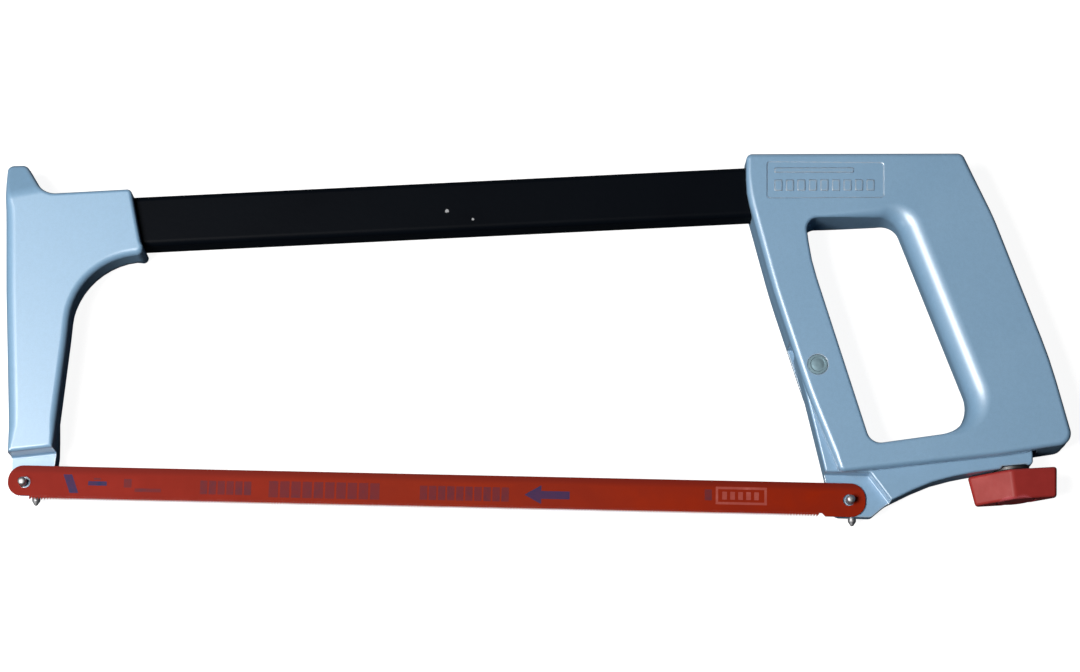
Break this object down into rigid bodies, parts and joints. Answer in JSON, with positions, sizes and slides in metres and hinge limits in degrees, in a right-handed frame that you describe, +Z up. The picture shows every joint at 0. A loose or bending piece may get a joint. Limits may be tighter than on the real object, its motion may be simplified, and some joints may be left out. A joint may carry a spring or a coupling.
{
  "type": "hacksaw",
  "caption": "High-tension hacksaw with a rectangular tube frame, closed cast handle, cast front end, printed blade and a tension lever drawn up by a winged knob.",
  "frame": {"origin": "centre of the footprint, on the plane the far side of the castings rests on", "axes": "+X along the blade from the front casting to the handle, +Y from the blade to the frame tube, +Z up out of the near side"},
  "size_m": [0.3927, 0.1382, 0.0212],
  "materials": {
    "cast_aluminium": "satin silver-blue lacquer on die-cast aluminium",
    "black_tube": "semi-gloss black powder coat",
    "orange_blade": null,
    "bright_steel": "zinc-plated steel",
    "dark_steel": "oiled dark steel",
    "red_plastic": "moulded red plastic, worn satin"
  },
  "bodies": {
    "frame": {"front_casting": "cast_aluminium", "top_tube": "black_tube", "handle_casting": "cast_aluminium", "lever_pivot_pin": "bright_steel", "front_blade_pin": "bright_steel", "front_flush_pin": "bright_steel", "front_tube_pin_1": "dark_steel", "front_tube_pin_2": "dark_steel", "rear_tube_pin_1": "dark_steel", "rear_tube_pin_2": "dark_steel"},
    "lever": {"tension_lever": "cast_aluminium", "rear_blade_pin": "bright_steel", "rear_flush_pin": "bright_steel"},
    "nut": {"trunnion_nut": "dark_steel"},
    "washer": {"thrust_washer": "dark_steel"},
    "knob": {"tension_knob": "red_plastic", "tension_screw": "dark_steel", "knob_cap": "red_plastic"},
    "blade": {"blade": "orange_blade"}
  },
  "joints": [
    {"name": "nut_swivel", "type": "hinge", "parent": "frame", "child": "nut", "pos_m": [0.17372, -0.0295, 0.0105], "axis": [0, 0, -1], "range_deg": [0, 1.18]},
    {"name": "screw_travel", "type": "slide", "parent": "nut", "child": "washer", "axis": [0.1132, -0.9936, 0], "range_m": [0, 0.00138]},
    {"name": "knob_turn", "type": "hinge", "parent": "washer", "child": "knob", "pos_m": [0.17655, -0.0543, 0.0105], "axis": [0.1132, -0.9936, 0], "range_deg": [0, 493.56]},
    {"name": "lever_tilt", "type": "hinge", "parent": "frame", "child": "lever", "pos_m": [0.10415, -0.0124, 0.0105], "axis": [0, 0, -1], "range_deg": [0, 1.18]},
    {"name": "blade_lift_off", "type": "slide", "parent": "frame", "child": "blade", "axis": [0, 0, 1], "range_m": [0, 0.03]}
  ],
  "couplings": [
    {"joint": "nut_swivel", "follows": "knob_turn", "ratio": 0.0023682},
    {"joint": "screw_travel", "follows": "knob_turn", "m_per_rad": 0.00015915},
    {"joint": "lever_tilt", "follows": "knob_turn", "ratio": 0.0023682}
  ]
}
